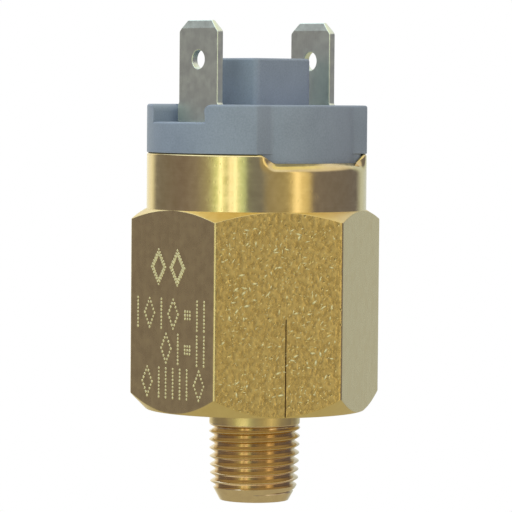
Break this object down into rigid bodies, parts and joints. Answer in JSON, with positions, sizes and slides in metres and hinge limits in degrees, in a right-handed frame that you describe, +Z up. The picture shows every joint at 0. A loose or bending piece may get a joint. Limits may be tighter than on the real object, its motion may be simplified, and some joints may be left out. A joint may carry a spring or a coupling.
{
  "type": "adjustable pressure switch",
  "caption": "Brass hexagon-bodied adjustable pressure switch with a tapered port thread, a crimped plastic head and blade terminals.",
  "frame": {"origin": "centre of the port thread's end face, which is also the centre of the lowest face", "axes": "+Z up the port thread's axis towards the terminals; the blade terminals stand at -Y (front) and +Y (rear), with their flat faces square to Y; two corners of the hexagon lie on X"},
  "size_m": [0.0276, 0.024, 0.052],
  "materials": {
    "brass": "turned and milled, satin with light scratches",
    "inner_brass": "turned",
    "head_plastic": "moulded, fine satin",
    "dark_plastic": "moulded",
    "rubber": "moulded, matte",
    "steel": "zinc plated",
    "plated_terminal": "tin plated, satin",
    "silver": "silver contact, bright"
  },
  "bodies": {
    "housing": {"brass_body": "brass", "diaphragm": "rubber", "clamp_ring": "inner_brass", "guide_plate": "inner_brass", "spacer_sleeve": "dark_plastic", "range_spring": "steel", "threaded_insert": "inner_brass", "insulator_head": "head_plastic", "head_seal": "rubber", "terminal_front": "plated_terminal", "terminal_rear": "plated_terminal", "fixed_contact_front": "silver", "fixed_contact_rear": "silver"},
    "piston_group": {"piston": "inner_brass", "contact_carrier": "dark_plastic", "contact_bridge": "inner_brass", "lower_spring_seat": "steel", "bridge_contact_front": "silver", "bridge_contact_rear": "silver"},
    "spring_plate": {"upper_spring_plate": "steel"},
    "screw": {"adjusting_screw": "steel"}
  },
  "joints": [
    {"name": "piston_travel", "type": "slide", "parent": "housing", "child": "piston_group", "axis": [0, 0, 1], "range_m": [0, 0.00075], "stiffness_N_per_m": 5000, "springref_m": -0.003, "deforming": ["range_spring", "diaphragm"]},
    {"name": "screw_advance", "type": "slide", "parent": "housing", "child": "spring_plate", "axis": [0, 0, 1], "range_m": [-0.0014, 0.001], "deforming": ["range_spring"]},
    {"name": "screw_turn", "type": "hinge", "parent": "spring_plate", "child": "screw", "pos_m": [0, 0, 0.043], "axis": [0, 0, 1], "range_deg": [-630, 450]}
  ],
  "couplings": [
    {"joint": "screw_turn", "follows": "screw_advance", "rad_per_m": 7854}
  ]
}
